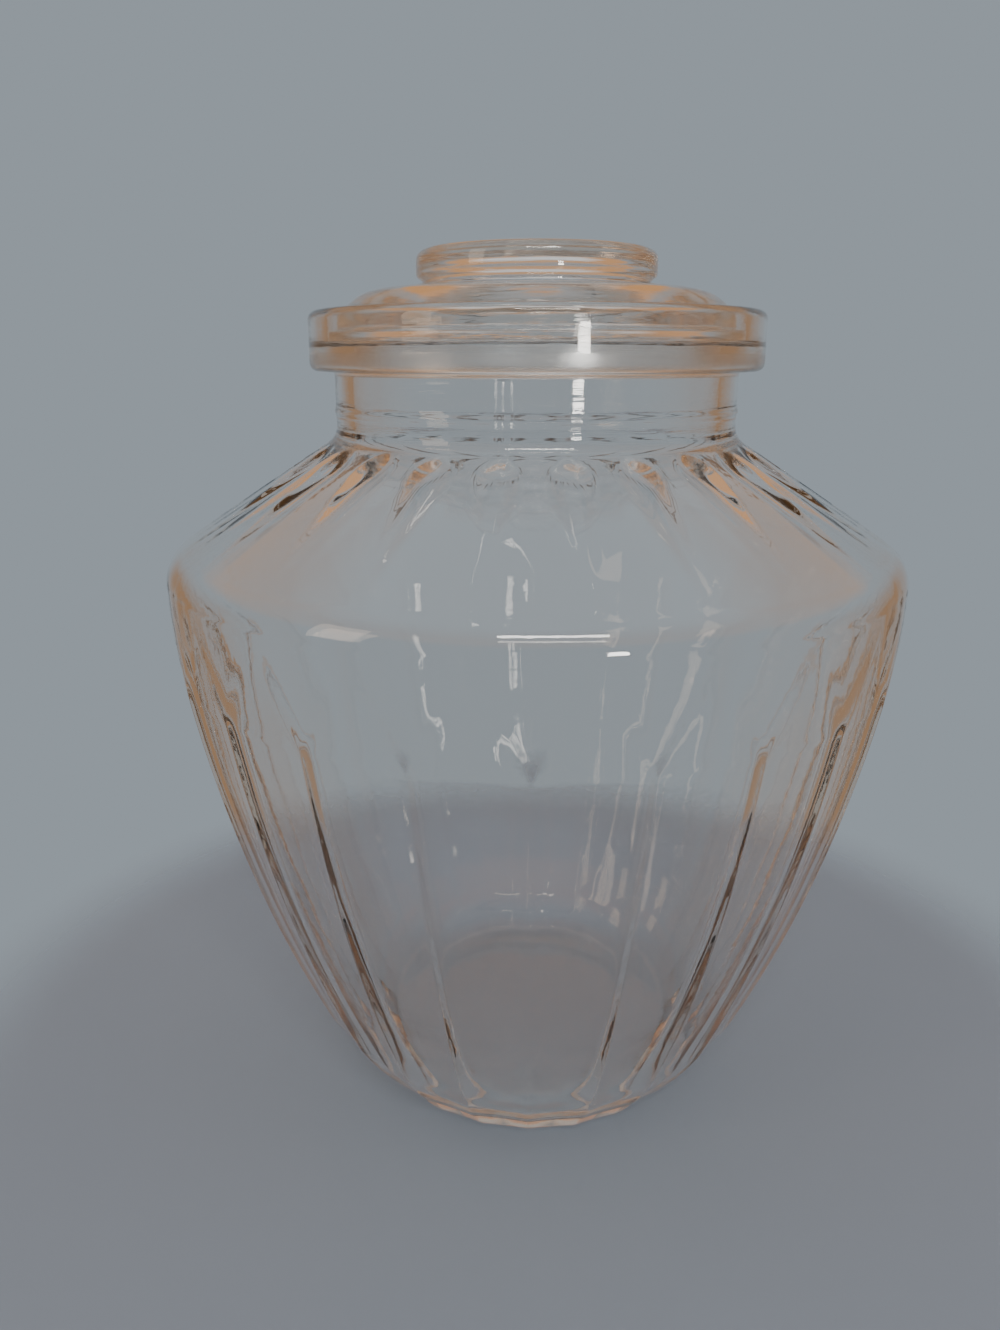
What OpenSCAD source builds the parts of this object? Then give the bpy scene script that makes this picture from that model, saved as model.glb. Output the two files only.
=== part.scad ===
// Lidded glass canister: a panelled glass jar with a collar, and a hollow glass lid that rests in it.
// Millimetres, +Z up. The origin is the centre of the foot, on the surface the jar stands on.

/* [Jar body] */
// Radius of the jar at its widest
jar_r = 105; // [98:0.5:112]
// Height of the widest ring
wide_z = 164.5; // [160:0.5:170]
// Radius of the rounded edge between the widest ring and the shoulder
edge_r = 11; // [9:0.5:13]
// Slope of the shoulder below the horizontal, in degrees
shoulder_slope = 33; // [31:0.5:35]
// Radius of the flat foot
foot_r = 45; // [43:0.5:45.5]
// Thickness of the wall behind the top of a panel
wall = 4.2; // [3.4:0.1:4.6]
// Thickness of the floor
floor_t = 12; // [9:0.5:14]

/* [Panels] */
// Number of panels round the body, and of flutes round the shoulder
panels = 24; // [20:1:28]
// Depth of a shoulder flute at its neck end
flute_depth = 1.8; // [1.2:0.1:2.2]
// Radius of a shoulder flute across its width
flute_r = 9; // [7:0.5:11]

/* [Neck and collar] */
// Outside radius of the neck
neck_r = 56.4; // [55:0.2:58]
// Radius of the mouth
mouth_r = 51.4; // [50.4:0.2:51.8]
// Outside radius of the collar
collar_r = 63; // [62:0.5:65]
// Height of the underside of the collar
collar_z = 219.6; // [217:0.2:221]
// Height of the ledge that the lid rests on
ledge_z = 226.4; // [225.4:0.2:227.4]
// Height of the rim
rim_z = 235.3; // [234:0.1:237]

/* [Lid] */
// Gap between the lid and the collar, and between the lid's skirt and the mouth
lid_gap = 0.5; // [0.3:0.1:0.9]
// Thickness of the lid's resting flange
flange_t = 3.6; // [3:0.2:4.4]
// How far the skirt reaches below the ledge
skirt_h = 7.4; // [5:0.2:9]
// Radius of the side of the dome
dome_r = 55; // [54:0.2:55.6]
// Radius of the dome's rounded edge
dome_edge = 8; // [6:0.5:9]
// Height of the dome above the ledge
dome_h = 14.2; // [13:0.2:15]
// Radius of the knob
knob_r = 33.2; // [31:0.2:35]
// Height of the knob's rounded disc
knob_h = 7.2; // [6.4:0.2:9]

/* [Hidden] */
$fn = 96;

pitch = 360 / panels;
far = 140;
corner_steps = 6;

// A round stretch from angle a0 to angle a1 about the centre c, as n straight steps
function arc(c, r, a0, a1, n) =
    [for (i = [0:n]) let (a = a0 + (a1 - a0) * i / n) c + r * [cos(a), sin(a)]];
// Centre of the arc of radius r1 that carries on smoothly at angle a from one of radius r0
function next_centre(c, r0, r1, a) = c + (r0 - r1) * [cos(a), sin(a)];

// Panel face, seen from the side: three arcs from the widest ring down to the foot
top_arc = 162;
top_end = -9.6;
main_arc = 448;
main_end = -24.3;
heel_arc = 128;
heel_start = -29;
top_c = [jar_r - top_arc, wide_z];
main_c = next_centre(top_c, top_arc, main_arc, top_end);
heel_top = main_c + main_arc * [cos(main_end), sin(main_end)];
heel_c = heel_top - heel_arc * [cos(heel_start), sin(heel_start)];
heel_end = asin(-heel_c[1] / heel_arc);

function face_line(d) = concat(
    arc(top_c, top_arc + d, 0, top_end, 7),
    arc(main_c, main_arc + d, top_end - 2, main_end, 6),
    arc(heel_c, heel_arc + d, heel_start, heel_end, 3));

// Plain glass above the panels' valleys, and spare glass outside the panels lower down
plain_arc = 266;
plain_end = -6;
plain_c = [jar_r - plain_arc, wide_z];
spare = 1.6;
foot_round = 6;

// Shoulder line, as a normal and the end of the rounded edge
shoulder_a = 90 - shoulder_slope;
shoulder_n = [cos(shoulder_a), sin(shoulder_a)];
shoulder_dir = [-sin(shoulder_a), cos(shoulder_a)];
edge_c = [jar_r - edge_r, wide_z];
edge_end = edge_c + edge_r * shoulder_n;

// Height of the centre of a round that touches an upright at r and lies d outside the shoulder line
function on_shoulder(r, d) = (edge_end * shoulder_n + d - r * shoulder_n[0]) / shoulder_n[1];

root_round = 6;
root_c = [neck_r + root_round, on_shoulder(neck_r + root_round, root_round)];
collar_round = 2;
rim_round = 2.4;
recess_r = dome_r + 2 + lid_gap;

// Inside line of the jar
shoulder_t = 4.6;
mouth_round = 4;
inner_edge = edge_r - shoulder_t;
mouth_c = [mouth_r + mouth_round, on_shoulder(mouth_r + mouth_round, mouth_round - shoulder_t)];
inner_arc = 370;
inner_c = next_centre(main_c, main_arc - wall, inner_arc, top_end);
floor_round = 16;
floor_a = asin((floor_t + floor_round - inner_c[1]) / (inner_arc - floor_round));
floor_c = next_centre(inner_c, inner_arc, floor_round, floor_a);

module jar_blank() {
    rotate_extrude()
        polygon(concat(
            [[0, 0]],
            arc([foot_r, foot_round], foot_round, -90, heel_end, 4),
            arc(heel_c, heel_arc + spare, heel_end + 6, heel_start, 2),
            arc(main_c, main_arc + spare, main_end, top_end - 1, 6),
            arc(plain_c, plain_arc, plain_end, 0, 6),
            arc(edge_c, edge_r, 10, shoulder_a, corner_steps),
            arc(root_c, root_round, 180 + shoulder_a, 180, corner_steps),
            [[neck_r, collar_z]],
            arc([collar_r - collar_round, collar_z + collar_round], collar_round, -90, 0, 4),
            arc([collar_r - rim_round, rim_z - rim_round], rim_round, 0, 90, 4),
            arc([recess_r + 1, rim_z - 1], 1, 90, 180, 3),
            [[recess_r, ledge_z], [0, ledge_z]]));
}

module jar_hollow() {
    rotate_extrude()
        polygon(concat(
            [[0, floor_t]],
            arc(floor_c, floor_round, -90, floor_a, corner_steps),
            arc(inner_c, inner_arc, floor_a + 2, top_end, 8),
            arc(top_c, top_arc - wall, top_end / 2, 0, 2),
            arc(edge_c + [edge_r - wall - inner_edge, 0], inner_edge, 15, shoulder_a, 5),
            arc(mouth_c, mouth_round, 180 + shoulder_a, 180, corner_steps),
            [[mouth_r, ledge_z + 1], [0, ledge_z + 1]]));
}

// Everything outside one panel face, with the face square to +X
module panel_cutter() {
    face_w = 2 * jar_r * tan(pitch);
    clearance = 0.03;
    rotate([90, 0, 0])
        translate([clearance, 0, -face_w / 2])
            linear_extrude(face_w)
                polygon(concat(face_line(0), [[heel_c[0] + heel_arc * cos(heel_end) - 2, -2], [far, -2], [far, wide_z]]));
}

// Round-bottomed flute along the shoulder in the XZ plane: deepest at the neck, rising to a point at the edge
flute_end = 8;
flute_start = 0.12;
flute_len = norm(edge_end - root_c) - flute_end;
flute_tilt = asin(flute_depth / flute_len);

module flute_cutter() {
    translate([edge_end[0], 0, edge_end[1]])
        rotate([0, -shoulder_a - flute_tilt, 0])
            translate([flute_r - flute_start, 0, 0])
                rotate_extrude()
                    polygon(concat([[0, -edge_r], [flute_r, -edge_r]],
                                   arc([0, flute_len], flute_r, 0, 90, corner_steps)));
}

module jar() {
    color([0.78, 0.84, 0.86, 0.45])
        difference() {
            jar_blank();
            jar_hollow();
            for (i = [0:panels - 1])
                rotate(pitch * (i + 0.5)) {
                    panel_cutter();
                    flute_cutter();
                }
        }
}

// Lid
flange_r = dome_r + 2;
skirt_r = mouth_r - lid_gap;
skirt_t = 4;
hollow_r = skirt_r - skirt_t;
lid_t = 3.6;
dome_z = ledge_z + dome_h;
knob_z = dome_z + 3.4;
knob_top = knob_z + knob_h;
knob_round = 3;
waist_r = knob_r - 2;
knob_hollow = waist_r - 3.2;
ceiling_round = 5;

module lid_outline() {
    polygon(concat(
        [[0, ledge_z - skirt_h], [skirt_r, ledge_z - skirt_h], [skirt_r, ledge_z], [flange_r, ledge_z]],
        arc([flange_r - 1, ledge_z + flange_t - 1], 1, 0, 90, 3),
        [[dome_r, ledge_z + flange_t]],
        arc([dome_r - dome_edge, dome_z - dome_edge], dome_edge, 0, 83, 8),
        [[waist_r, knob_z - 1.4]],
        arc([knob_r - 1.4, knob_z + 1.4], 1.4, -90, 0, 3),
        arc([knob_r - knob_round, knob_top - knob_round], knob_round, 0, 90, 5),
        [[0, knob_top]]));
}

module lid_hollow() {
    polygon(concat(
        [[0, ledge_z - skirt_h - 1], [hollow_r, ledge_z - skirt_h - 1]],
        arc([hollow_r - ceiling_round, dome_z - lid_t - ceiling_round], ceiling_round, 0, 90, 5),
        [[knob_hollow, dome_z - lid_t]],
        arc([knob_hollow - 2, knob_top - lid_t - 2], 2, 0, 90, 4),
        [[0, knob_top - lid_t]]));
}

module lid() {
    color([0.80, 0.85, 0.86, 0.45])
        rotate_extrude()
            difference() {
                lid_outline();
                lid_hollow();
            }
}

jar();
lid();
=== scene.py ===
import math

import bmesh
import bpy
import numpy as np
from mathutils import Euler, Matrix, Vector


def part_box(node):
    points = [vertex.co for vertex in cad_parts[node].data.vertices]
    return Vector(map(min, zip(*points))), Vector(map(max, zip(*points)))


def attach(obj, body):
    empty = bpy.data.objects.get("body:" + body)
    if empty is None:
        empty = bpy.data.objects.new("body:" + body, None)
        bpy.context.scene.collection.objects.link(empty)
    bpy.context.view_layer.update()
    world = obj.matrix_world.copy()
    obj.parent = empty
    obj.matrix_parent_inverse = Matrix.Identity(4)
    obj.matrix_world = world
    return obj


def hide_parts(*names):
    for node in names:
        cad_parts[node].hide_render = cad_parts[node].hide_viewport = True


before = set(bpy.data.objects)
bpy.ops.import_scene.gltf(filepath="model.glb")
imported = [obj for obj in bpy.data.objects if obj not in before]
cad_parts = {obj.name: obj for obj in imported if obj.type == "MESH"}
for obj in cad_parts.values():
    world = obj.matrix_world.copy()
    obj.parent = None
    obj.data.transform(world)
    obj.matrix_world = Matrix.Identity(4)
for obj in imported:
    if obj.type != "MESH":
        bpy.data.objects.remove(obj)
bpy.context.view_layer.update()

# --------------------------------------------------------------------------------------
# Sizes, in metres. The outer boxes of the jar and the lid come from the frame. The radii
# and heights between them are written in millimetres, times MM.
# --------------------------------------------------------------------------------------
MM = 0.001
jar_lo, jar_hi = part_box("jar")
lid_lo, lid_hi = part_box("lid")

SAFE = 0.02 * MM                       # keeps every surface just inside the CAD box
JAR_R = (jar_hi.x - jar_lo.x) / 2 - SAFE
RIM_Z = jar_hi.z - SAFE
LID_TOP = lid_hi.z - SAFE
SKIRT_Z = lid_lo.z + SAFE
FLANGE_R = (lid_hi.x - lid_lo.x) / 2 - SAFE

PANELS = 24
PITCH = 2 * math.pi / PANELS
WIDE_Z = 164.5 * MM                    # height of the widest ring
EDGE_R = 11 * MM                       # rounding between the widest ring and the shoulder
SHOULDER = math.radians(57)            # direction of the shoulder's normal above the level
SHOULDER_DEG = math.degrees(SHOULDER)
NECK_R = 56.4 * MM
MOUTH_R = 51.4 * MM
COLLAR_R = 63 * MM
COLLAR_Z = 219.6 * MM
LEDGE_Z = 226.4 * MM                   # the ledge inside the collar that the lid rests on
LID_PLAY = 0.5 * MM                    # gap round the lid's flange and round its skirt
RECESS_R = FLANGE_R + LID_PLAY
FOOT_R = 45 * MM
FLOOR_Z = 12 * MM
WALL = 4.2 * MM
SHOULDER_WALL = 4.6 * MM


# --------------------------------------------------------------------------------------
# Lines and surfaces
# --------------------------------------------------------------------------------------
def polar(centre, radius, angle):
    """Points on an arc: centre (r, z), angle in radians above the level."""
    angle = np.asarray(angle, float)
    return np.stack([centre[0] + radius * np.cos(angle), centre[1] + radius * np.sin(angle)], -1)


def arc(centre, radius, start, end, steps):
    """Rows (r, z) along an arc between two angles in degrees, both ends kept."""
    return polar(centre, radius, np.radians(np.linspace(start, end, steps + 1)))


def carry_on(centre, radius, next_radius, angle):
    """Centre of the arc that follows another one smoothly at an angle in degrees."""
    a = math.radians(angle)
    shift = radius - next_radius
    return (centre[0] + shift * math.cos(a), centre[1] + shift * math.sin(a))


def rounded(corners, steps=6):
    """Rows along straight lines whose corners (r, z, radius) are rounded. The two ends stay sharp."""
    rows = [np.array(corners[0][:2], float)]
    for before, here, after in zip(corners, corners[1:], corners[2:]):
        p = np.array(here[:2], float)
        u = np.array(before[:2], float) - p
        v = np.array(after[:2], float) - p
        u /= np.linalg.norm(u)
        v /= np.linalg.norm(v)
        half = math.acos(max(-1.0, min(1.0, float(u @ v)))) / 2
        if here[2] <= 0:
            rows.append(p)
            continue
        reach = here[2] / math.tan(half)
        middle = p + (u + v) / np.linalg.norm(u + v) * here[2] / math.sin(half)
        a = p + u * reach - middle
        b = p + v * reach - middle
        turn = math.atan2(a[0] * b[1] - a[1] * b[0], float(a @ b))
        for t in np.linspace(0, turn, steps + 1):
            rows.append(middle + np.array([a[0] * math.cos(t) - a[1] * math.sin(t),
                                           a[0] * math.sin(t) + a[1] * math.cos(t)]))
    rows.append(np.array(corners[-1][:2], float))
    return np.array(rows)


def spaced(rows, step):
    """Adds rows so that no two are further apart than step."""
    out = [rows[0]]
    for a, b in zip(rows, rows[1:]):
        n = max(1, math.ceil(np.linalg.norm(b - a) / step))
        out += [a + (b - a) * i / n for i in range(1, n + 1)]
    return np.array(out)


def soft_min(values, width):
    """The smaller of several surfaces, with the crease between them rounded over."""
    low = np.minimum.reduce(values)
    return low - width * np.log(sum(np.exp(-(v - low) / width) for v in values))


def on_arc(z, centre, radius):
    """Radius of an upright arc at a height."""
    return centre[0] + np.sqrt(np.maximum(radius ** 2 - (z - centre[1]) ** 2, 0))


def across(theta):
    """Angle from the middle of the nearest panel."""
    return (theta % PITCH) - PITCH / 2


# --------------------------------------------------------------------------------------
# Outline of the jar: arc radii, and the angles in degrees where one arc meets the next
# --------------------------------------------------------------------------------------
TOP_ARC, TOP_END = 162 * MM, -9.6
MAIN_ARC, MAIN_END = 448 * MM, -24.3
HEEL_ARC, HEEL_START = 128 * MM, -29.0
PLAIN_ARC = 266 * MM                   # plain band that the panels' pointed tops run out into
INNER_ARC = 370 * MM
FLOOR_ROUND = 16 * MM
FOOT_ROUND = 6 * MM
ROOT_ROUND = 6 * MM                    # hollow corner between shoulder and neck

top_c = (JAR_R - TOP_ARC, WIDE_Z)
main_c = carry_on(top_c, TOP_ARC, MAIN_ARC, TOP_END)
heel_top = polar(main_c, MAIN_ARC, math.radians(MAIN_END))
heel_c = tuple(heel_top - polar((0, 0), HEEL_ARC, math.radians(HEEL_START)))
top_z = polar(top_c, TOP_ARC, math.radians(TOP_END))[1]
plain_c = (JAR_R - PLAIN_ARC, WIDE_Z)
edge_c = (JAR_R - EDGE_R, WIDE_Z)
edge_end = polar(edge_c, EDGE_R, SHOULDER)
shoulder_n = np.array([math.cos(SHOULDER), math.sin(SHOULDER)])


def on_shoulder(r, away):
    """Height at radius r of a line that lies away outside the shoulder."""
    return (float(edge_end @ shoulder_n) + away - r * shoulder_n[0]) / shoulder_n[1]


root_c = (NECK_R + ROOT_ROUND, on_shoulder(NECK_R + ROOT_ROUND, ROOT_ROUND))
root_low = np.array(root_c) - ROOT_ROUND * shoulder_n
SHOULDER_LEN = float(np.linalg.norm(edge_end - root_low))

# --------------------------------------------------------------------------------------
# Relief of the jar: panels, flutes, mould seams and the ring round the neck
# --------------------------------------------------------------------------------------
CREASE = 0.07 * MM                     # softness of the panels' edges
SCOOP_R = 100 * MM                     # radius of a panel's hollow across its width
FOLLOW = 0.6                           # share of the panels' relief that the inside follows
FOLLOW_RISE = 20 * MM                  # height over which it begins, above the floor's rounding
PLAIN_FROM = top_z - 1 * MM            # the plain band is left out of the sum below this height
FAR_OUT = 1.0                          # a radius that never counts in soft_min

FLUTE_R = 8.5 * MM
FLUTE_DEPTH = 1.75 * MM
FLUTE_GROWTH = 1.7                     # power by which a flute deepens towards the neck
FLUTE_LEN = SHOULDER_LEN - 8.5 * MM
FLUTE_END_R = 22 * MM                  # the hollow runs out to the neck on this radius
FLUTE_SOFT = 0.05 * MM

SEAM_ANGLE = math.radians(-97.5)       # the mould's halves meet here and right across from it
SEAM_WIDE = 1.0 * MM
SEAM_HIGH = 0.25 * MM
SEAM_RISE = 20 * MM                    # length along the shoulder over which a seam begins
BEAD_Z = 209 * MM                      # thin ring round the neck
BEAD_WIDE = 1.0 * MM
BEAD_HIGH = 0.4 * MM


def panel_face(z):
    """Distance of a panel's middle from the axis, at a height, before it is hollowed."""
    z = np.asarray(z, float)
    return np.where(z > top_z, on_arc(z, top_c, TOP_ARC),
                    np.where(z > heel_top[1], on_arc(z, main_c, MAIN_ARC), on_arc(z, heel_c, HEEL_ARC)))


def body_row(z, theta):
    """Radius round the jar at a height between the foot and the widest ring."""
    phi = np.abs(across(theta))
    plain = on_arc(z, plain_c, PLAIN_ARC) if z > PLAIN_FROM else FAR_OUT
    ridge = panel_face(z) / math.cos(PITCH / 2)
    grow = min((WIDE_Z - z) / (WIDE_Z - top_z), 1.0)
    curve = 1 / SCOOP_R + 1 / ridge
    half_width = ridge * math.sin(PITCH / 2)
    full = half_width ** 2 / 2 * curve
    edge = plain if grow < 1 else ridge
    depth = full * grow ** 2
    panels = []
    for a in (phi, PITCH - phi):
        x = ridge * np.sin(a)
        panels.append(edge - depth + x ** 2 / 2 * curve)
    panels.append(np.full_like(theta, plain))
    return soft_min(panels, CREASE)


def shoulder_row(s, theta):
    """Point rows (r, z) along the shoulder, s metres in from the rounded edge, with the flutes sunk in."""
    base = edge_end + (root_low - edge_end) * s / SHOULDER_LEN
    x = base[0] * across(theta)
    run = min(max(s, 0.0), FLUTE_LEN)
    deep = FLUTE_DEPTH * (run / FLUTE_LEN) ** FLUTE_GROWTH
    over = max(s - FLUTE_LEN, 0.0)
    sink = deep - x ** 2 / (2 * FLUTE_R) - over ** 2 / (2 * FLUTE_END_R)
    sink = -soft_min([-sink, np.zeros_like(x)], FLUTE_SOFT)
    return base[0] - sink * shoulder_n[0], base[1] - sink * shoulder_n[1]


def seam(r, theta):
    """Height of the two mould seams, which stand proud of the neck and shoulder."""
    away = np.sin(theta - SEAM_ANGLE) * r / SEAM_WIDE
    return SEAM_HIGH * np.exp(-away ** 2)


# --------------------------------------------------------------------------------------
# Rings of points. The columns are closest near a panel's edges, and every COARSE-th one
# is enough where the glass is plain.
# --------------------------------------------------------------------------------------
HALF_PANEL = (0, 0.12, 0.25, 0.39, 0.53, 0.67, 0.79, 0.89, 0.96)
panel_cols = sorted({round(sign * t, 4) for t in HALF_PANEL for sign in (1, -1)}) + [1.0]
fine_theta = np.array([PITCH * (i + 0.5 + c / 2) for i in range(PANELS) for c in panel_cols])
COARSE = 2
coarse_theta = fine_theta[::COARSE]
LID_COLUMNS = 192


def ring(r, z, theta):
    """Points round the axis. r and z are each one number or one number per column."""
    r = np.broadcast_to(r, theta.shape)
    z = np.broadcast_to(z, theta.shape)
    return np.stack([r * np.cos(theta), r * np.sin(theta), z], -1)


def rings_to_mesh(name, rings):
    """A closed skin over rings of points. A ring may have 1/COARSE as many points as the one before it."""
    bm = bmesh.new()
    made = [[bm.verts.new(p) for p in points] for points in rings]
    for a, b in zip(made, made[1:]):
        n, m = len(a), len(b)
        if n == m:
            for i in range(n):
                bm.faces.new((a[i], a[(i + 1) % n], b[(i + 1) % n], b[i]))
        elif m == 1:
            for i in range(n):
                bm.faces.new((a[i], a[(i + 1) % n], b[0]))
        elif n == 1:
            for i in range(m):
                bm.faces.new((a[0], b[(i + 1) % m], b[i]))
        elif n == m * COARSE:
            for i in range(m):
                bm.faces.new((a[i * COARSE], a[i * COARSE + 1], b[i]))
                bm.faces.new((a[i * COARSE + 1], a[(i * COARSE + 2) % n], b[(i + 1) % m], b[i]))
        else:
            raise ValueError("rings don't match")
    bmesh.ops.recalc_face_normals(bm, faces=bm.faces)
    mesh = bpy.data.meshes.new(name)
    bm.to_mesh(mesh)
    bm.free()
    mesh.shade_smooth()
    obj = bpy.data.objects.new(name, mesh)
    bpy.context.scene.collection.objects.link(obj)
    return obj


# --------------------------------------------------------------------------------------
# Jar
# --------------------------------------------------------------------------------------
UNDER_RISE = 0.9 * MM                  # the underside is a little hollow
UNDERSIDE = ((20 * MM, 0.8 * MM), (34 * MM, 0.45 * MM), (39 * MM, 0.12 * MM), (42 * MM, 0))
FOOT_SOFT = 0.15 * MM
NECK_END = COLLAR_Z - 1.3 * MM
THROAT_Z = 205 * MM                    # where the straight mouth meets the inside of the neck
MOUTH_ROUND = 4 * MM


def body_rings():
    """Underside, foot, heel and panels, up to the widest ring."""
    rings = [np.array([[0, 0, UNDER_RISE]])]
    rings += [ring(r, z, fine_theta) for r, z in UNDERSIDE]
    foot = arc((FOOT_R, FOOT_ROUND), FOOT_ROUND, -90, -45, 6)
    for r, z in foot:
        turned = np.full_like(fine_theta, r)
        rings.append(ring(soft_min([turned, body_row(z, fine_theta)], FOOT_SOFT), z, fine_theta))
    points_low = top_z - 6 * MM
    heights = list(np.linspace(foot[-1][1], heel_top[1], 12)[1:])
    heights += list(np.linspace(heel_top[1], points_low, 32)[1:])
    heights += list(np.linspace(points_low, WIDE_Z, 40)[1:])
    rings += [ring(body_row(z, fine_theta), z, fine_theta) for z in heights]
    return rings


def shoulder_rings():
    """Rounded edge, fluted shoulder and the root of the neck."""
    rings = [ring(r, z, fine_theta) for r, z in arc(edge_c, EDGE_R, 0, SHOULDER_DEG, 14)[1:-1]]
    for s in np.linspace(0, SHOULDER_LEN, 44):
        r, z = shoulder_row(s, fine_theta)
        proud = seam(np.mean(r), fine_theta) * min(1.0, s / SEAM_RISE)
        rings.append(ring(r + proud * shoulder_n[0], z + proud * shoulder_n[1], fine_theta))
    for r, z in arc(root_c, ROOT_ROUND, 180 + SHOULDER_DEG, 180, 8)[1:-1]:
        rings.append(ring(r + seam(r, fine_theta), z, fine_theta))
    return rings


def top_rings():
    """Neck with its ring and seams, collar, recess for the lid, and mouth."""
    rings = []
    for z in np.linspace(root_c[1], NECK_END, 30):
        bead = BEAD_HIGH * math.exp(-((z - BEAD_Z) / BEAD_WIDE) ** 2)
        rings.append(ring(NECK_R + bead + seam(NECK_R, fine_theta), z, fine_theta))
    collar = rounded([
        (NECK_R, NECK_END, 0),
        (NECK_R, COLLAR_Z, 1.2 * MM),
        (COLLAR_R, COLLAR_Z, 2.2 * MM),
        (COLLAR_R, RIM_Z, 2.6 * MM),
        (RECESS_R, RIM_Z, 1.4 * MM),
        (RECESS_R, LEDGE_Z, 0.8 * MM),
        (MOUTH_R, LEDGE_Z, 0.7 * MM),
        (MOUTH_R, THROAT_Z, 0)])
    rings += [ring(r, z, coarse_theta) for r, z in spaced(collar, 2.5 * MM)[1:]]
    return rings


def inner_rings():
    """Inside of the jar from the mouth down to the middle of the floor."""
    inner_n = (edge_end @ shoulder_n) - SHOULDER_WALL
    mouth_r = MOUTH_R + MOUTH_ROUND
    mouth_c = (mouth_r, (inner_n + MOUTH_ROUND - mouth_r * shoulder_n[0]) / shoulder_n[1])
    inner_edge = EDGE_R - SHOULDER_WALL
    edge_in = (edge_c[0] + EDGE_R - WALL - inner_edge, edge_c[1])
    inner_c = carry_on(main_c, MAIN_ARC - WALL, INNER_ARC, TOP_END)
    floor_rise = FLOOR_Z + FLOOR_ROUND - inner_c[1]
    floor_a = math.degrees(math.asin(floor_rise / (INNER_ARC - FLOOR_ROUND)))
    floor_c = carry_on(inner_c, INNER_ARC, FLOOR_ROUND, floor_a)
    inside = np.concatenate([
        arc(mouth_c, MOUTH_ROUND, 180, 180 + SHOULDER_DEG, 6),
        arc(edge_in, inner_edge, SHOULDER_DEG, 0, 10),
        arc(top_c, TOP_ARC - WALL, -1, TOP_END + 1, 6),
        arc(inner_c, INNER_ARC, TOP_END, floor_a, 24),
        arc(floor_c, FLOOR_ROUND, floor_a, -90, 10)[1:],
        [[20 * MM, FLOOR_Z]]])
    rings = []
    for r, z in spaced(inside, 4 * MM):
        follow = FOLLOW * max(0.0, min(1.0, (z - floor_c[1]) / FOLLOW_RISE)) if z < WIDE_Z else 0.0
        relief = body_row(z, coarse_theta) if follow else 0.0
        rings.append(ring(r - follow * (np.max(relief) - relief), z, coarse_theta))
    rings.append(np.array([[0, 0, FLOOR_Z]]))
    return rings


# --------------------------------------------------------------------------------------
# Lid
# --------------------------------------------------------------------------------------
DOME_R = 55 * MM
DOME_Z = LEDGE_Z + 14.2 * MM
SKIRT_R = MOUTH_R - LID_PLAY
HOLLOW_R = 46.9 * MM                   # hollow under the dome
KNOB_R = 33.2 * MM
KNOB_Z = LEDGE_Z + 17.6 * MM           # underside of the knob
WAIST_R = 31.2 * MM
KNOB_HOLLOW_R = 28 * MM
FLANGE_T = 3.4 * MM
LID_REST = LEDGE_Z + 0.03 * MM         # the flange lies this close to the ledge


def lid_rings():
    """The lid's outline, from the top of the knob out and down to the skirt, and back up inside."""
    theta = np.linspace(0, 2 * math.pi, LID_COLUMNS, endpoint=False)
    outline = rounded([
        # knob, slightly dished on top
        (0, LID_TOP - 0.5 * MM, 0),
        (20 * MM, LID_TOP, 60 * MM),
        (KNOB_R, LID_TOP, 3.0 * MM),
        (KNOB_R, KNOB_Z, 1.6 * MM),
        # waist and dome
        (WAIST_R, KNOB_Z - 1.0 * MM, 1.4 * MM),
        (WAIST_R + 0.4 * MM, KNOB_Z - 2.6 * MM, 1.2 * MM),
        (DOME_R - 4 * MM, DOME_Z - 0.4 * MM, 14 * MM),
        (DOME_R, DOME_Z - 8 * MM, 5 * MM),
        (DOME_R, LEDGE_Z + FLANGE_T + 0.2 * MM, 0.8 * MM),
        # flange and skirt
        (FLANGE_R, LEDGE_Z + FLANGE_T, 1.0 * MM),
        (FLANGE_R, LID_REST, 0.5 * MM),
        (SKIRT_R, LID_REST, 0.4 * MM),
        (SKIRT_R, SKIRT_Z, 0.8 * MM),
        (HOLLOW_R, SKIRT_Z, 0.8 * MM),
        # hollow of the dome, a cone, and the hollow of the knob
        (HOLLOW_R, LEDGE_Z + 2.5 * MM, 5 * MM),
        (KNOB_HOLLOW_R, DOME_Z - 3.0 * MM, 2.0 * MM),
        (KNOB_HOLLOW_R, LID_TOP - 3.6 * MM, 3.0 * MM),
        (0, LID_TOP - 3.4 * MM, 0)])
    rows = spaced(outline, 3 * MM)
    rings = [np.array([[0, 0, rows[0][1]]])]
    rings += [ring(r, z, theta) for r, z in rows[1:-1]]
    rings.append(np.array([[0, 0, rows[-1][1]]]))
    return rings


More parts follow.
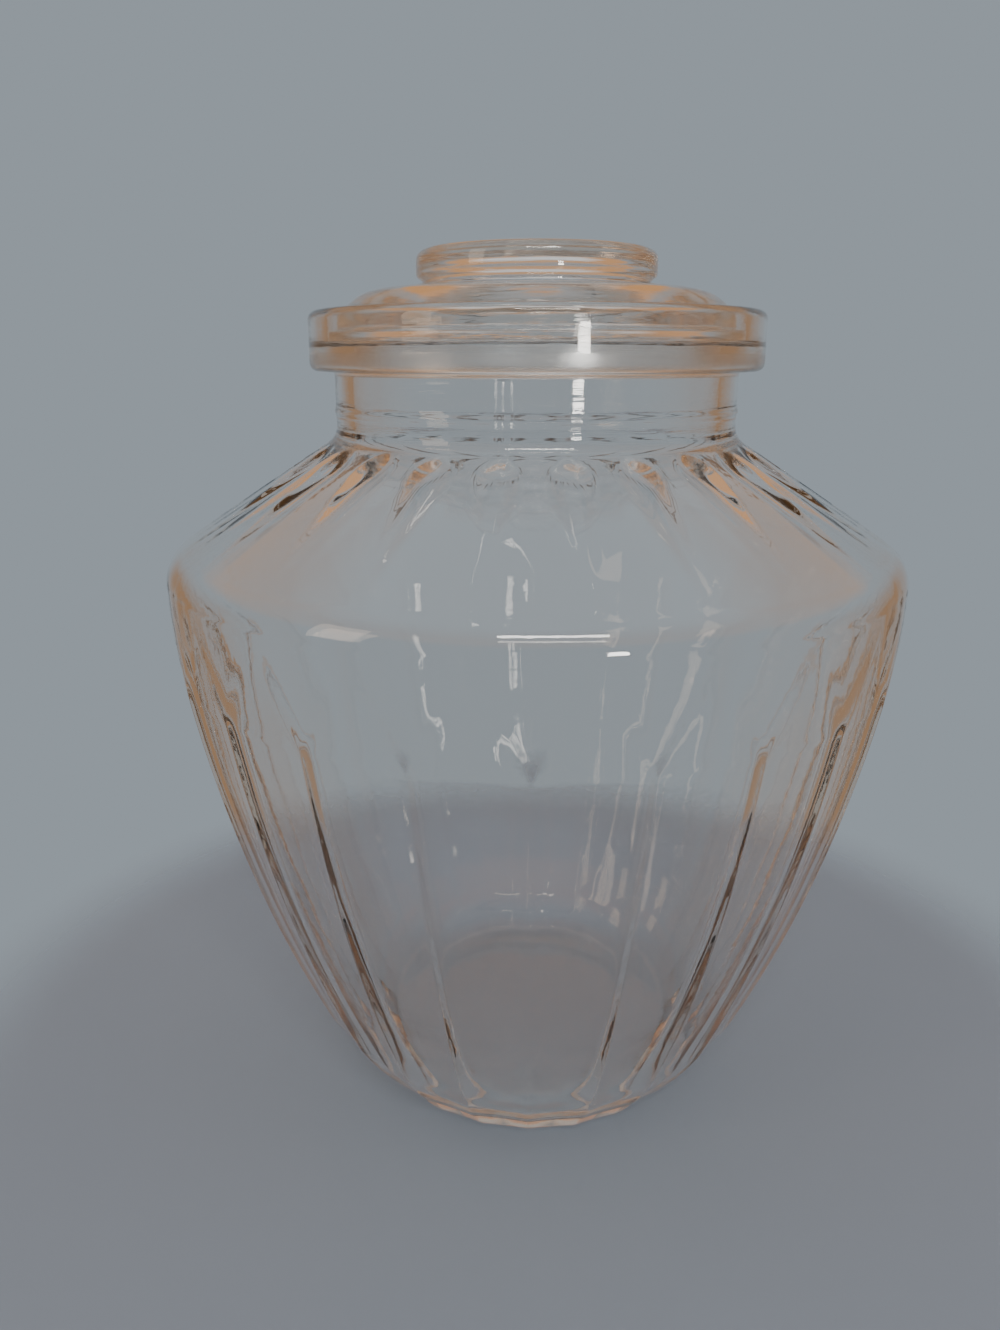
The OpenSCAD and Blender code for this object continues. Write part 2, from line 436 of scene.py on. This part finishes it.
# --------------------------------------------------------------------------------------
# Materials
# --------------------------------------------------------------------------------------
class Nodes:
    """Short calls for building a node tree."""

    def __init__(self, tree):
        self.tree = tree
        tree.nodes.clear()

    def add(self, kind, **settings):
        node = self.tree.nodes.new(kind)
        for key, value in settings.items():
            setattr(node, key, value)
        return node

    def link(self, a, b):
        self.tree.links.new(a, b)

    def math(self, operation, a, b=None, clamp=False):
        node = self.add("ShaderNodeMath", operation=operation, use_clamp=clamp)
        for socket, value in zip(node.inputs, (a, b)):
            if value is None:
                continue
            if isinstance(value, (int, float)):
                socket.default_value = value
            else:
                self.link(value, socket)
        return node.outputs[0]

    def noise(self, vector, scale, detail=2.0, roughness=0.5):
        node = self.add("ShaderNodeTexNoise")
        node.inputs["Scale"].default_value = scale
        node.inputs["Detail"].default_value = detail
        node.inputs["Roughness"].default_value = roughness
        self.link(vector, node.inputs["Vector"])
        return node.outputs["Fac"]

    def ramp(self, value, start, slope):
        """Rises from 0 at start to 1."""
        return self.math("MULTIPLY", self.math("SUBTRACT", value, start), slope, clamp=True)

    def smooth_band(self, value, start, full, fall, end):
        """1 between full and fall, 0 outside start and end."""
        rise = self.ramp(value, start, 1 / (full - start))
        drop = self.ramp(value, fall, 1 / (end - fall))
        return self.math("MULTIPLY", rise, self.math("SUBTRACT", 1.0, drop))

    def blend(self, factor, below, above):
        """A colour that goes from below to above as factor goes from 0 to 1."""
        node = self.add("ShaderNodeMix", data_type="RGBA")
        self.link(factor, node.inputs["Factor"])
        for socket, colour in ((node.inputs[6], below), (node.inputs[7], above)):
            if isinstance(colour, tuple):
                socket.default_value = (*colour, 1)
            else:
                self.link(colour, socket)
        return node.outputs[2]

    def mix_shaders(self, factor, below, above):
        node = self.add("ShaderNodeMixShader")
        self.link(factor, node.inputs[0])
        self.link(below.outputs[0], node.inputs[1])
        self.link(above.outputs[0], node.inputs[2])
        return node.outputs[0]


def glass(name, ground_low, ground_high, streaks_from):
    """Clear pressed glass: long ripples, fine skin, faint smears, a matt ground band between two heights,
    and the sideways streaks of a hand-finished rim above a third."""
    mat = bpy.data.materials.new(name)
    mat.use_nodes = True
    n = Nodes(mat.node_tree)
    out = n.add("ShaderNodeOutputMaterial")
    body = n.add("ShaderNodeBsdfPrincipled")
    body.inputs["Base Color"].default_value = (0.985, 0.99, 0.99, 1)
    body.inputs["Transmission Weight"].default_value = 1.0
    body.inputs["IOR"].default_value = 1.5
    place = n.add("ShaderNodeTexCoord").outputs["Object"]
    split = n.add("ShaderNodeSeparateXYZ")
    n.link(place, split.inputs[0])
    height = split.outputs["Z"]

    def above(level, blur=0.8 * MM):
        """0 under a height and 1 over it."""
        return n.math("ADD", n.math("DIVIDE", n.math("SUBTRACT", height, level), blur), 0.5, clamp=True)

    ground = n.math("SUBTRACT", above(ground_low), above(ground_high), clamp=True)
    flat = n.add("ShaderNodeMapping")
    flat.inputs["Scale"].default_value = (1, 1, 22)
    n.link(place, flat.inputs["Vector"])
    streaks = n.math("MULTIPLY", n.noise(flat.outputs[0], 26, 3.0, 0.6), above(streaks_from))
    ripples = n.noise(place, 38, 1.0, 0.4)
    skin = n.math("MULTIPLY", n.noise(place, 420, 1.5), 0.035)
    grit = n.math("MULTIPLY", n.noise(place, 2200, 2.0, 0.7), n.math("MULTIPLY", ground, 0.12))
    waves = n.math("ADD", ripples, skin)
    relief = n.math("ADD", n.math("ADD", waves, n.math("MULTIPLY", streaks, 0.30)), grit)
    bump = n.add("ShaderNodeBump")
    bump.inputs["Strength"].default_value = 0.25
    bump.inputs["Distance"].default_value = 1.1 * MM
    n.link(relief, bump.inputs["Height"])
    n.link(bump.outputs["Normal"], body.inputs["Normal"])
    smear = n.math("MULTIPLY", n.math("SUBTRACT", n.noise(place, 30, 3.0, 0.6), 0.45, clamp=True), 0.12)
    n.link(n.math("ADD", smear, n.math("MULTIPLY", ground, 0.16)), body.inputs["Roughness"])
    # lamps shine through, dimmed, so that the jar's shadow stays light
    clear = n.add("ShaderNodeBsdfTransparent")
    clear.inputs["Color"].default_value = (0.62, 0.66, 0.70, 1)
    shadow = n.add("ShaderNodeLightPath").outputs["Is Shadow Ray"]
    n.link(n.mix_shaders(shadow, body, clear), out.inputs["Surface"])
    deep = n.add("ShaderNodeVolumeAbsorption")
    deep.inputs["Color"].default_value = (0.94, 0.82, 0.69, 1)
    deep.inputs["Density"].default_value = 16.0
    n.link(deep.outputs[0], out.inputs["Volume"])
    return mat


FADE_FROM, FADE_TO = 0.165, 0.225      # radii between which the floor fades into the backdrop


def floor_material():
    """Pale paper that fades into the backdrop away from the jar."""
    mat = bpy.data.materials.new("floor")
    mat.use_nodes = True
    n = Nodes(mat.node_tree)
    out = n.add("ShaderNodeOutputMaterial")
    body = n.add("ShaderNodeBsdfPrincipled")
    place = n.add("ShaderNodeTexCoord").outputs["Object"]
    tone = n.add("ShaderNodeValToRGB")
    tone.color_ramp.elements[0].color = (0.205, 0.265, 0.35, 1)
    tone.color_ramp.elements[1].color = (0.23, 0.29, 0.375, 1)
    n.link(n.noise(place, 5, 3.0), tone.inputs[0])
    n.link(tone.outputs[0], body.inputs["Base Color"])
    body.inputs["Roughness"].default_value = 0.6
    away = n.add("ShaderNodeVectorMath", operation="LENGTH")
    n.link(place, away.inputs[0])
    fade = n.add("ShaderNodeMapRange", interpolation_type="SMOOTHSTEP")
    fade.inputs["From Min"].default_value = FADE_FROM
    fade.inputs["From Max"].default_value = FADE_TO
    n.link(away.outputs["Value"], fade.inputs["Value"])
    gone = n.add("ShaderNodeBsdfTransparent")
    n.link(n.mix_shaders(fade.outputs[0], body, gone), out.inputs["Surface"])
    return mat


# --------------------------------------------------------------------------------------
# Pieces
# --------------------------------------------------------------------------------------
jar = rings_to_mesh("jar_body", body_rings() + shoulder_rings() + top_rings() + inner_rings())
jar.data.materials.append(glass("jar_glass", COLLAR_Z - 0.5 * MM, COLLAR_Z + 4.5 * MM, 203 * MM))
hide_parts("jar")
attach(jar, "jar")

lid = rings_to_mesh("lid_body", lid_rings())
lid.data.materials.append(glass("lid_glass", SKIRT_Z - 1 * MM, LEDGE_Z + 0.5 * MM, SKIRT_Z))
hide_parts("lid")
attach(lid, "lid")

# --------------------------------------------------------------------------------------
# Stage, light and camera
# --------------------------------------------------------------------------------------
FLOOR_SIZE = 0.5
FLOOR_DROP = 0.0002                    # keeps the floor clear of the foot's flat face
WARM_WHITE = (1.0, 0.96, 0.90)
BACKDROP = (0.295, 0.34, 0.38)


def make_floor():
    bm = bmesh.new()
    bmesh.ops.create_circle(bm, cap_ends=True, segments=96, radius=FLOOR_SIZE)
    mesh = bpy.data.meshes.new("floor")
    bm.to_mesh(mesh)
    bm.free()
    floor = bpy.data.objects.new("floor", mesh)
    bpy.context.scene.collection.objects.link(floor)
    floor.location.z = -FLOOR_DROP
    floor.data.materials.append(floor_material())


def soft_box(name, where, aim, size, power, colour):
    """A rectangular lamp that faces a point."""
    data = bpy.data.lights.new(name, "AREA")
    data.shape = "RECTANGLE"
    data.size, data.size_y = size
    data.energy = power
    data.color = colour
    lamp = bpy.data.objects.new(name, data)
    lamp.location = where
    lamp.rotation_euler = (Vector(aim) - Vector(where)).to_track_quat("-Z", "Y").to_euler()
    bpy.context.scene.collection.objects.link(lamp)


def make_world():
    """What the glass bends into view: warm walls on both sides behind it, a warm glow over them, a pale
    ceiling. The backdrop that shows directly is plain all round."""
    world = bpy.data.worlds.new("studio")
    bpy.context.scene.world = world
    world.use_nodes = True
    n = Nodes(world.node_tree)
    out = n.add("ShaderNodeOutputWorld")
    sky = n.add("ShaderNodeBackground")
    split = n.add("ShaderNodeSeparateXYZ")
    n.link(n.add("ShaderNodeTexCoord").outputs["Generated"], split.inputs[0])
    east, north, up = (split.outputs[axis] for axis in "XYZ")
    level = n.math("SQRT", n.math("ADD", n.math("MULTIPLY", east, east), n.math("MULTIPLY", north, north)))
    behind = n.math("DIVIDE", north, n.math("ADD", level, 0.0001))
    aside = n.smooth_band(behind, -0.15, 0.22, 0.72, 0.88)
    low = n.math("SUBTRACT", 1.0, n.ramp(up, 0.10, 5.0))
    room = n.blend(n.ramp(behind, -0.5, 3.0), (0.23, 0.245, 0.26), BACKDROP)
    walls = n.blend(n.math("MULTIPLY", aside, low), room, (0.31, 0.19, 0.11))
    warm_top = n.blend(n.ramp(up, 0.34, 9.0), walls, (0.62, 0.33, 0.15))
    ceiling = n.blend(n.ramp(up, 0.70, 6.0), warm_top, (0.72, 0.74, 0.76))
    seen = n.add("ShaderNodeLightPath").outputs["Is Camera Ray"]
    n.link(n.blend(seen, ceiling, BACKDROP), sky.inputs["Color"])
    sky.inputs["Strength"].default_value = 1.0
    n.link(sky.outputs[0], out.inputs["Surface"])


FOCAL_PX = 1000                        # focal length, in the pixels of a frame 1330 high
FRAME_PX = 1330
EYE = (0.0, -0.2961, 0.2237)
PITCH_DOWN = math.radians(17.2)
YAW = math.radians(1.95)


def make_camera():
    camera = bpy.data.cameras.new("camera")
    camera.sensor_width = 36
    camera.lens = camera.sensor_width * FOCAL_PX / FRAME_PX
    camera.clip_start = 0.01
    eye = bpy.data.objects.new("camera", camera)
    eye.location = EYE
    eye.rotation_euler = Euler((math.pi / 2 - PITCH_DOWN, 0, YAW))
    bpy.context.scene.collection.objects.link(eye)
    bpy.context.scene.camera = eye


def let_light_travel():
    """Light led along a thick glass wall turns back many times, and would end as black lines."""
    paths = bpy.context.scene.cycles
    paths.max_bounces = 24
    paths.transmission_bounces = 24
    paths.glossy_bounces = 16


def plain(box):
    return [[float(v) for v in corner] for corner in box]


make_floor()
soft_box("window", (0.40, -1.0, 0.23), (0, 0, 0.2), (0.10, 0.12), 2.2, WARM_WHITE)
soft_box("strip", (0.10, -0.9, 0.95), (0, 0, 0.2), (0.55, 0.10), 6.0, WARM_WHITE)
soft_box("warm_fill", (-0.9, -0.6, 0.5), (0, 0, 0.12), (0.3, 0.5), 1.5, (1.0, 0.80, 0.62))
make_world()
make_camera()
let_light_travel()
